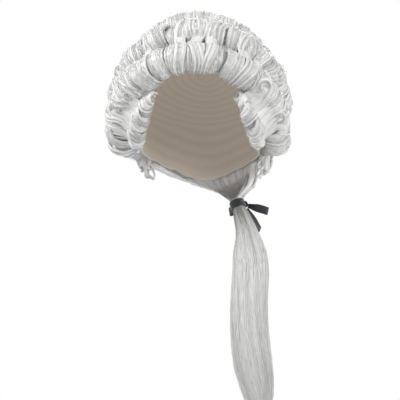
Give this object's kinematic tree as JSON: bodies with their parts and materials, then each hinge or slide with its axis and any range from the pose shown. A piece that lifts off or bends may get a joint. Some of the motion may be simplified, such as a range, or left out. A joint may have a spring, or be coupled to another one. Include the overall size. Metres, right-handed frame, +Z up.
{
  "type": "costume wig",
  "caption": "White costume wig in eighteenth-century style with rolled curls round the face, combed back hair and a low queue tied with a dark ribbon bow.",
  "frame": {"origin": "inside crown of the cap's hollow, where the wig sits on the top of a head", "axes": "+Z up along the wearer's height, -Y towards the wearer's face, +X towards the wearer's left, which is the right of the picture"},
  "size_m": [0.231, 0.2283, 0.5039],
  "materials": {
    "hair": "satin",
    "cap_cloth": "matte",
    "ribbon_satin": "satin"
  },
  "bodies": {
    "root": {"wig_cap": "cap_cloth", "curl_row_front": "hair", "curl_row_second": "hair", "curl_row_third": "hair", "crown_curls": "hair", "temple_curls_right": "hair", "temple_curls_left": "hair", "back_hair": "hair", "ponytail": "hair", "ribbon_wrap": "ribbon_satin", "ribbon_knot": "ribbon_satin", "ribbon_loop_right": "ribbon_satin", "ribbon_loop_left": "ribbon_satin", "ribbon_end_right": "ribbon_satin", "ribbon_end_left": "ribbon_satin"}
  },
  "joints": []
}
